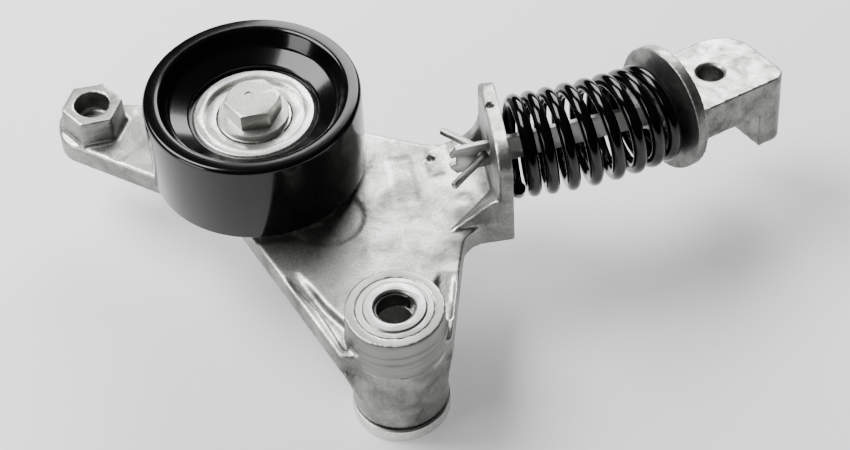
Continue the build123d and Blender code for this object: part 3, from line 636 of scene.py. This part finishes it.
def rounded(corners: Iterable[tuple[float, float, float]], steps: int = 6
            ) -> list[tuple[float, float]]:
    """A closed outline with its corners rounded by arcs.

    Args:
        corners: across, up and rounding radius of each corner, in millimetres.
        steps: points on each arc, less one.

    Returns:
        The outline's points.
    """
    given = list(corners)
    points: list[tuple[float, float]] = []
    for i, (x, y, radius) in enumerate(given):
        here = Vector((x, y))
        if radius <= 0:
            points.append((x, y))
            continue
        back = (Vector(given[i - 1][:2]) - here).normalized()
        ahead = (Vector(given[(i + 1) % len(given)][:2]) - here).normalized()
        half = back.angle(ahead) / 2
        middle = here + (back + ahead).normalized() * (radius / math.sin(half))
        start = here + back * (radius / math.tan(half)) - middle
        end = here + ahead * (radius / math.tan(half)) - middle
        turn = start.angle_signed(end)
        for k in range(steps + 1):
            spoke = start.copy()
            spoke.rotate(Matrix.Rotation(-turn * k / steps, 2))
            points.append(tuple(middle + spoke))
    return points


def lathe(name: str, outline: Sequence[tuple[float, float]], axis_mm: tuple[float, float],
          segments: int = 160) -> bpy.types.Object:
    """Turns a closed outline about an upright axis.

    Args:
        name: name of the new piece.
        outline: radius and height of each point, in millimetres.
        axis_mm: where the axis stands.
        segments: steps round the axis.

    Returns:
        The new object.
    """
    verts, faces = [], []
    count = len(outline)
    for s in range(segments):
        angle = 2 * math.pi * s / segments
        for r, z in outline:
            verts.append(((axis_mm[0] + r * math.cos(angle)) * MM,
                          (axis_mm[1] + r * math.sin(angle)) * MM, z * MM))
    for s in range(segments):
        after = (s + 1) % segments
        for k in range(count):
            k2 = (k + 1) % count
            faces.append((s * count + k, after * count + k, after * count + k2, s * count + k2))
    mesh = bpy.data.meshes.new(name)
    mesh.from_pydata(verts, [], faces)
    work = bmesh.new()
    work.from_mesh(mesh)
    bmesh.ops.recalc_face_normals(work, faces=work.faces)
    work.to_mesh(mesh)
    work.free()
    mesh.shade_smooth()
    mesh.set_sharp_from_angle(angle=math.radians(LATHE_SHARP_DEG))
    piece = bpy.data.objects.new(name, mesh)
    bpy.context.scene.collection.objects.link(piece)
    return piece


# ------------------------------------------------------------------------------ node trees


class PieceTree:
    """A geometry node tree with named inputs that ends in real, dressed faces."""

    def __init__(self, name: str) -> None:
        """Starts an empty tree.

        Args:
            name: name of the tree.
        """
        self.tree = bpy.data.node_groups.new(name, "GeometryNodeTree")
        self.tree.interface.new_socket("Geometry", in_out="OUTPUT",
                                       socket_type="NodeSocketGeometry")
        self.values: dict[str, Any] = {}

    def size(self, name: str, value: float) -> None:
        """Adds a named number.

        Args:
            name: the input's name.
            value: what it is set to.
        """
        kind = "NodeSocketInt" if isinstance(value, int) else "NodeSocketFloat"
        socket = self.tree.interface.new_socket(name, in_out="INPUT", socket_type=kind)
        self.values[socket.identifier] = value

    def inputs(self) -> Any:
        """Returns the sockets of the tree's own inputs."""
        return add_node(self.tree, "NodeGroupInput").outputs

    def math(self, operation: str, first: Any, second: Any = 0.0) -> bpy.types.NodeSocket:
        """One step of arithmetic on numbers.

        Args:
            operation: Blender's name for it.
            first: a number or the socket that gives it.
            second: a number or the socket that gives it.

        Returns:
            The result's socket.
        """
        return add_node(self.tree, "ShaderNodeMath", {0: first, 1: second},
                        operation=operation).outputs[0]

    def vector(self, operation: str, first: Any, second: Any = None,
               scale: Any = None) -> bpy.types.NodeSocket:
        """One step of arithmetic on vectors.

        Args:
            operation: Blender's name for it.
            first: a vector or the socket that gives it.
            second: the other vector, if it takes one.
            scale: the factor, if it takes one.

        Returns:
            The result's socket.
        """
        given = {0: first}
        if second is not None:
            given[1] = second
        if scale is not None:
            given["Scale"] = scale
        return add_node(self.tree, "ShaderNodeVectorMath", given, operation=operation).outputs[0]

    def build(self, geometry: bpy.types.NodeSocket, name: str, finish: Finishes
              ) -> bpy.types.Object:
        """Closes the tree and turns its result into a plain mesh.

        Args:
            geometry: socket with the finished shape.
            name: name of the new piece.
            finish: material that the tree sets.

        Returns:
            The new object, without the modifier.
        """
        real = add_node(self.tree, "GeometryNodeRealizeInstances", {0: geometry})
        dressed = add_node(self.tree, "GeometryNodeSetMaterial", {"Geometry": real.outputs[0]})
        dressed.inputs["Material"].default_value = finish.value.material()
        add_node(self.tree, "NodeGroupOutput", {0: dressed.outputs[0]})
        piece = bpy.data.objects.new(name, bpy.data.meshes.new(name))
        bpy.context.scene.collection.objects.link(piece)
        modifier = piece.modifiers.new("shape", "NODES")
        modifier.node_group = self.tree
        for identifier, value in self.values.items():
            modifier[identifier] = value
        return settle(piece)


# ------------------------------------------------------------------------------ sub-assemblies


@dataclass
class Pivot:
    """The hollow shaft that stays on the engine, with the split ring in its mouth."""

    edge_mm: float = 0.25
    ring_edge_mm: float = 0.12

    def build(self) -> None:
        """Makes the shaft and the ring."""
        finish_piece(edge_broken("pivot_shaft", "shaft", self.edge_mm), "root", Finishes.SHAFT,
                     ["pivot_shaft"])
        finish_piece(edge_broken("bolt_retaining_ring", "split_ring", self.ring_edge_mm),
                     "root", Finishes.RING, ["bolt_retaining_ring"])


@dataclass
class Arm:
    """The die-cast arm and the bushes in its boss."""

    voxel_mm: float = 0.7
    rounding: int = 1
    bush_edge_mm: float = 0.05
    soft_parts: dict[str, Finishes] = field(default_factory=lambda: {
        "upper_bushing": Finishes.BUSH, "lower_bushing": Finishes.BUSH,
        "dust_seal": Finishes.SEAL})

    def build(self) -> None:
        """Makes the casting, the two bushes and the seal."""
        finish_piece(cast("arm_casting", "cast_arm", self.voxel_mm, self.rounding), "arm",
                     Finishes.ARM, ["arm_casting"])
        for node, finish in self.soft_parts.items():
            finish_piece(edge_broken(node, node + "_piece", self.bush_edge_mm), "arm", finish,
                         [node])


@dataclass
class Pulley:
    """The smooth pulley, a turned and coated shell with a rolled lip and a dished face."""

    wall: float = 4.0
    lip: float = 5.1
    lip_drop: float = 5.2
    dish_run: float = 7.8
    shoulder: float = 0.9
    web_height: float = 16.0
    collar: tuple[float, float] = (0.6, 0.9)    # out from and up over the bearing's seat
    collar_step: float = 0.5
    seat_depth: float = 1.0

    def build(self) -> None:
        """Turns the shell about the pulley's axis."""
        low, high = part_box("pulley_shell")
        ring_low, ring_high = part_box("bearing_outer_ring")
        outer = (high.x - low.x) / 2 / MM
        bore = (ring_high.x - ring_low.x) / 2 / MM
        bottom, top = low.z / MM, high.z / MM
        ring_bottom, ring_top = ring_low.z / MM, ring_high.z / MM
        dish = bore + self.shoulder
        outline = rounded([
            (bore, ring_bottom, 0.3), (bore + self.wall, ring_bottom, 0.6),
            (bore + self.wall, bottom + self.web_height, 1.5),
            (outer - self.wall, bottom + self.web_height, 1.5),
            (outer - self.wall, bottom, 0.6), (outer, bottom, 1.0), (outer, top, 1.4),
            (outer - self.lip, top, 1.8), (outer - self.dish_run, top - self.lip_drop, 2.4),
            (dish + self.collar[0], ring_top + self.collar[1], 0.5),
            (dish, ring_top + self.collar_step, 0.2), (dish, ring_top - self.seat_depth, 0.1),
            (bore, ring_top - self.seat_depth, 0.1)])
        finish_piece(lathe("pulley", outline, PULLEY_AXIS_MM), "pulley", Finishes.PULLEY,
                     ["pulley_shell"])


@dataclass
class Bearing:
    """The deep groove ball bearing inside the pulley."""

    ball_count: int = 8
    ball_mm: float = 6.6
    ball_rings: int = 16
    rivet_mm: float = 0.85
    rivet_sides: int = 20
    rings: dict[str, tuple[str, Finishes, float]] = field(default_factory=lambda: {
        "bearing_inner_ring": ("arm", Finishes.BEARING, 0.15),
        "bearing_outer_ring": ("pulley", Finishes.BEARING, 0.2),
        "bearing_shield_front": ("pulley", Finishes.SHEET, 0.1),
        "bearing_shield_rear": ("pulley", Finishes.SHEET, 0.1),
        "cage_front": ("cage", Finishes.CAGE, 0.08),
        "cage_rear": ("cage", Finishes.CAGE, 0.08)})

    def build(self) -> None:
        """Makes the rings, shields, cage halves, balls and rivets."""
        for node, (body, finish, edge_mm) in self.rings.items():
            finish_piece(edge_broken(node, node + "_piece", edge_mm), body, finish, [node])
        low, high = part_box("bearing_balls")
        pitch = (high.x - low.x) / 2 - self.ball_mm * MM / 2
        middle = (low + high) / 2
        finish_piece(self.ring_of("balls", middle, pitch, 0.0, True), "cage", Finishes.BALLS,
                     ["bearing_balls"])
        finish_piece(self.ring_of("rivets", middle, pitch, math.pi / self.ball_count, False),
                     "cage", Finishes.CAGE, ["cage_rivets"])

    def ring_of(self, name: str, middle: Vector, pitch: float, start: float,
                balls: bool) -> bpy.types.Object:
        """Balls or rivets, evenly spaced round the bearing.

        Args:
            name: name of the new piece.
            middle: centre of the bearing.
            pitch: radius that they stand on, in metres.
            start: angle of the first one.
            balls: true for balls, false for rivets.

        Returns:
            The new object.
        """
        low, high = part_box("cage_rivets")
        maker = PieceTree(name + "_tree")
        maker.size("Count", self.ball_count)
        maker.size("Pitch radius", pitch)
        maker.size("Radius", (self.ball_mm / 2 if balls else self.rivet_mm) * MM)
        maker.size("Height", high.z - low.z)
        given = maker.inputs()
        circle = add_node(maker.tree, "GeometryNodeMeshCircle",
                          {"Vertices": given["Count"], "Radius": given["Pitch radius"]})
        if balls:
            shape = add_node(maker.tree, "GeometryNodeMeshUVSphere",
                             {"Segments": self.ball_rings * 2, "Rings": self.ball_rings,
                              "Radius": given["Radius"]})
        else:
            shape = add_node(maker.tree, "GeometryNodeMeshCylinder",
                             {"Vertices": self.rivet_sides, "Radius": given["Radius"],
                              "Depth": given["Height"]})
        copies = add_node(maker.tree, "GeometryNodeInstanceOnPoints",
                          {"Points": circle.outputs[0], "Instance": shape.outputs[0]})
        placed = add_node(maker.tree, "GeometryNodeTransform",
                          {"Geometry": copies.outputs[0], "Translation": tuple(middle),
                           "Rotation": (0.0, 0.0, start)})
        finish = Finishes.BALLS if balls else Finishes.CAGE
        return maker.build(placed.outputs[0], name, finish)


@dataclass
class PulleyFastening:
    """The spacer and the flanged bolt."""

    pieces: dict[str, tuple[Finishes, float]] = field(default_factory=lambda: {
        "pulley_spacer": (Finishes.SPACER, 0.2), "pulley_bolt": (Finishes.BOLT, 0.15)})
    sharp_deg: float = 12.0     # keeps the head's flat top apart from its corner cone

    def build(self) -> None:
        """Makes the two pieces."""
        for node, (finish, edge_mm) in self.pieces.items():
            finish_piece(edge_broken(node, node + "_piece", edge_mm, sharp_deg=self.sharp_deg),
                         "arm", finish, [node])


@dataclass
class Strut:
    """The flat rod, the cast bolt-down end and the spread pin."""

    end_voxel_mm: float = 0.45
    end_rounding: int = 2
    strip_edge_mm: float = 0.3

    def build(self) -> None:
        """Makes the three pieces."""
        finish_piece(cast("strut_end", "bolt_down_end", self.end_voxel_mm, self.end_rounding),
                     "strut", Finishes.END, ["strut_end"])
        finish_piece(edge_broken("spring_rod", "flat_rod", self.strip_edge_mm), "strut",
                     Finishes.ROD, ["spring_rod"])
        finish_piece(edge_broken("retaining_pin", "spread_pin", self.strip_edge_mm), "strut",
                     Finishes.PIN, ["retaining_pin"])


@dataclass
class CoilSpring:
    """The coil spring, bowed between the arm's seat and the disc of the bolt-down end."""

    wire: float = 4.6
    turns: float = 8.25
    end_radius: float = 14.5
    swell: float = 0.7
    end_gap: float = 0.35
    gap: float = 0.3
    phase_deg: float = 200.0
    rod_y: float = 57.2
    rod_z: float = 50.0
    disc_reach: float = 56.9
    disc_y: float = 67.0
    disc_z: float = 49.0
    disc_t: float = 3.7
    end_turn: tuple[float, float, float] = (24.0, -4.5, -6.4)
    points: int = 420
    wire_sides: int = 20

    def build(self) -> None:
        """Winds the spring round its bowed centre line."""
        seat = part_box("arm_casting")[1].x / MM
        along = turned_frame(*self.end_turn)[0]
        start = Vector((seat + self.gap, self.rod_y, self.rod_z))
        disc = Vector((seat + self.disc_reach, self.disc_y, self.disc_z))
        end = disc - along * (self.disc_t + self.gap)
        piece = self.wound(start, end, along)
        piece.data.materials.clear()
        piece.data.materials.append(Finishes.SPRING.value.material())
        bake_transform(piece)
        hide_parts("coil_spring")
        log.info("%s: %d faces, between arm and strut", piece.name, len(piece.data.polygons))

    def wound(self, start: Vector, end: Vector, along: Vector) -> bpy.types.Object:
        """The wire as a closed mesh.

        Args:
            start: centre of the spring at the arm's seat, in millimetres.
            end: centre of the spring at the disc.
            along: direction of the centre line at the disc.

        Returns:
            The new object.
        """
        span = (end - start).length
        first_pull, last_pull = Vector((span, 0, 0)), along * span
        maker = PieceTree("coil_tree")
        for name, value in (("Points", self.points), ("Wire radius", self.wire / 2 * MM),
                            ("Turns", self.turns), ("End radius", self.end_radius * MM),
                            ("Swell", self.swell * MM), ("Phase", math.radians(self.phase_deg)),
                            ("End pitch", (self.wire + self.end_gap) * MM), ("Span", span * MM)):
            maker.size(name, value)
        given = maker.inputs()
        line = add_node(maker.tree, "GeometryNodeMeshLine", {"Count": given["Points"]})
        wire = add_node(maker.tree, "GeometryNodeMeshToCurve", {0: line.outputs[0]})
        index = add_node(maker.tree, "GeometryNodeInputIndex").outputs[0]
        last = maker.math("SUBTRACT", given["Points"], 1.0)
        u = maker.math("DIVIDE", index, last)
        turn = maker.math("MULTIPLY", u, given["Turns"])
        # close turns at both ends and the free length shared out between them
        taken = maker.math("MULTIPLY", given["End pitch"], given["Turns"])
        wire_d = maker.math("MULTIPLY", given["Wire radius"], 2.0)
        free = maker.math("SUBTRACT", maker.math("SUBTRACT", given["Span"], wire_d), taken)
        wave = maker.math("DIVIDE", maker.math("SINE", maker.math("MULTIPLY", u, math.tau)),
                          math.tau)
        advance = maker.math("ADD", maker.math("MULTIPLY", given["End pitch"], turn),
                             maker.math("MULTIPLY", free, maker.math("SUBTRACT", u, wave)))
        t = maker.math("DIVIDE", maker.math("ADD", given["Wire radius"], advance), given["Span"])
        t2 = maker.math("MULTIPLY", t, t)
        t3 = maker.math("MULTIPLY", t2, t)

        def cubic(a: float, b: float, c: float, d: float) -> bpy.types.NodeSocket:
            """Adds up a t cubed + b t squared + c t + d.

            Args:
                a: factor of t cubed.
                b: factor of t squared.
                c: factor of t.
                d: what is added.

            Returns:
                The sum's socket.
            """
            top = maker.math("ADD", maker.math("MULTIPLY", t3, a), maker.math("MULTIPLY", t2, b))
            low = maker.math("ADD", maker.math("MULTIPLY", t, c), d)
            return maker.math("ADD", top, low)

        def weighted(weights: Sequence[bpy.types.NodeSocket]) -> bpy.types.NodeSocket:
            """Adds up the centre line's four vectors, each times its weight.

            Args:
                weights: one for each vector.

            Returns:
                The sum's socket.
            """
            total = None
            for weight, value in zip(weights, (start, first_pull, end, last_pull)):
                part = maker.vector("SCALE", tuple(value * MM), scale=weight)
                total = part if total is None else maker.vector("ADD", total, part)
            return total

        point = weighted((cubic(2, -3, 0, 1), cubic(1, -2, 1, 0), cubic(-2, 3, 0, 0),
                          cubic(1, -1, 0, 0)))
        ahead = maker.vector("NORMALIZE", weighted((cubic(0, 6, -6, 0), cubic(0, 3, -4, 1),
                                                    cubic(0, -6, 6, 0), cubic(0, 3, -2, 0))))
        side = maker.vector("NORMALIZE", maker.vector("CROSS_PRODUCT", (0.0, 0.0, 1.0), ahead))
        up = maker.vector("CROSS_PRODUCT", ahead, side)
        radius = maker.math("ADD", given["End radius"], maker.math(
            "MULTIPLY", given["Swell"], maker.math("SINE", maker.math("MULTIPLY", t, math.pi))))
        angle = maker.math("ADD", given["Phase"], maker.math("MULTIPLY", turn, math.tau))
        out = maker.vector("ADD",
                           maker.vector("SCALE", side, scale=maker.math(
                               "MULTIPLY", radius, maker.math("COSINE", angle))),
                           maker.vector("SCALE", up, scale=maker.math(
                               "MULTIPLY", radius, maker.math("SINE", angle))))
        bent = add_node(maker.tree, "GeometryNodeSetPosition",
                        {"Geometry": wire.outputs[0], "Position": maker.vector("ADD", point, out)})
        section = add_node(maker.tree, "GeometryNodeCurvePrimitiveCircle",
                           {"Resolution": self.wire_sides, "Radius": given["Wire radius"]})
        solid = add_node(maker.tree, "GeometryNodeCurveToMesh",
                         {"Curve": bent.outputs[0], "Profile Curve": section.outputs[0],
                          "Fill Caps": True})
        return maker.build(solid.outputs[0], "black_coil", Finishes.SPRING)


# ------------------------------------------------------------------------------ studio


@dataclass
class Studio:
    """A pale floor, soft light and the camera."""

    camera_at: tuple[float, float, float] = (-0.03898, -0.46663, 0.60359)
    heading_deg: float = 6.3
    down_deg: float = 48.12
    roll_deg: float = -3.51
    lens_mm: float = 100.94
    shift: tuple[float, float] = (-0.0068, 0.0058)
    floor_z: float = -0.0004
    floor_size: float = 6.0
    floor_colour: str = "fafafa"
    floor_roughness: float = 0.9
    glow_colour: str = "ffffff"
    table_glow: float = 0.30    # the table is lit from below
    sky_low: float = 0.30       # towards the horizon
    sky_high: float = 1.15      # overhead
    sky_top: float = 0.8        # height from which the sky is at its brightest
    sensor_mm: float = 36.0
    near_m: float = 0.01
    lamps: list[tuple[str, tuple[float, float, float], float, float]] = field(
        default_factory=lambda: [
            ("key", (-0.45, 0.30, 0.75), 0.50, 12.0),
            ("back", (0.25, 0.80, 0.55), 0.50, 9.0),
            ("left", (-0.75, -0.25, 0.25), 0.35, 2.5)])

    def build(self) -> None:
        """Sets out the floor, the light and the camera."""
        self.place_floor()
        self.place_light()
        self.place_camera()

    def place_floor(self) -> None:
        """Lays a plain floor under the part."""
        half = self.floor_size / 2
        mesh = bpy.data.meshes.new("floor")
        mesh.from_pydata([(x * half, y * half, self.floor_z) for x, y in
                          ((-1, -1), (1, -1), (1, 1), (-1, 1))], [], [(0, 1, 2, 3)])
        floor = bpy.data.objects.new("floor", mesh)
        bpy.context.scene.collection.objects.link(floor)
        paper = bpy.data.materials.new("matt_white_paper")
        paper.use_nodes = True
        shader = paper.node_tree.nodes["Principled BSDF"]
        shader.inputs["Base Color"].default_value = linear(self.floor_colour)
        shader.inputs["Roughness"].default_value = self.floor_roughness
        shader.inputs["Emission Color"].default_value = linear(self.glow_colour)
        shader.inputs["Emission Strength"].default_value = self.table_glow
        mesh.materials.append(paper)

    def place_light(self) -> None:
        """Hangs soft lamps round the part under an even sky."""
        world = bpy.data.worlds.new("studio")
        bpy.context.scene.world = world
        world.use_nodes = True
        background = world.node_tree.nodes["Background"]
        way = add_node(world.node_tree, "ShaderNodeTexCoord").outputs["Generated"]
        height = add_node(world.node_tree, "ShaderNodeSeparateXYZ", {0: way}).outputs[2]
        bright = add_node(world.node_tree, "ShaderNodeMapRange", {
            "Value": height, "From Min": 0.0, "From Max": self.sky_top,
            "To Min": self.sky_low, "To Max": self.sky_high}).outputs[0]
        world.node_tree.links.new(bright, background.inputs["Strength"])
        middle = (Vector(CAD_BOX[0]) + Vector(CAD_BOX[1])) / 2
        for name, at, size, power in self.lamps:
            lamp = bpy.data.lights.new(name, "AREA")
            lamp.size = size
            lamp.energy = power
            holder = bpy.data.objects.new(name, lamp)
            holder.location = at
            holder.rotation_euler = (middle - Vector(at)).to_track_quat("-Z", "Y").to_euler()
            bpy.context.scene.collection.objects.link(holder)

    def place_camera(self) -> None:
        """Stands the camera in front of the part, looking down at it."""
        h, d, r = (math.radians(a) for a in (self.heading_deg, self.down_deg, self.roll_deg))
        ahead = Vector((math.sin(h) * math.cos(d), math.cos(h) * math.cos(d), -math.sin(d)))
        right = Vector((math.cos(h), -math.sin(h), 0))
        up = Vector((math.sin(h) * math.sin(d), math.cos(h) * math.sin(d), math.cos(d)))
        across = right * math.cos(r) + up * math.sin(r)
        above = up * math.cos(r) - right * math.sin(r)
        lens = bpy.data.cameras.new("camera")
        lens.lens = self.lens_mm
        lens.sensor_width = self.sensor_mm
        lens.shift_x, lens.shift_y = self.shift
        lens.clip_start = self.near_m
        camera = bpy.data.objects.new("camera", lens)
        turned = Matrix((across, above, -ahead)).transposed().to_4x4()
        camera.matrix_world = Matrix.Translation(self.camera_at) @ turned
        bpy.context.scene.collection.objects.link(camera)
        bpy.context.scene.camera = camera


def main() -> None:
    """Builds every sub-assembly in order, then the studio."""
    for part in (Pivot(), Arm(), Pulley(), Bearing(), PulleyFastening(), Strut(), CoilSpring()):
        log.info("building %s", type(part).__name__)
        part.build()
    Studio().build()


if __name__ == "__main__":
    main()
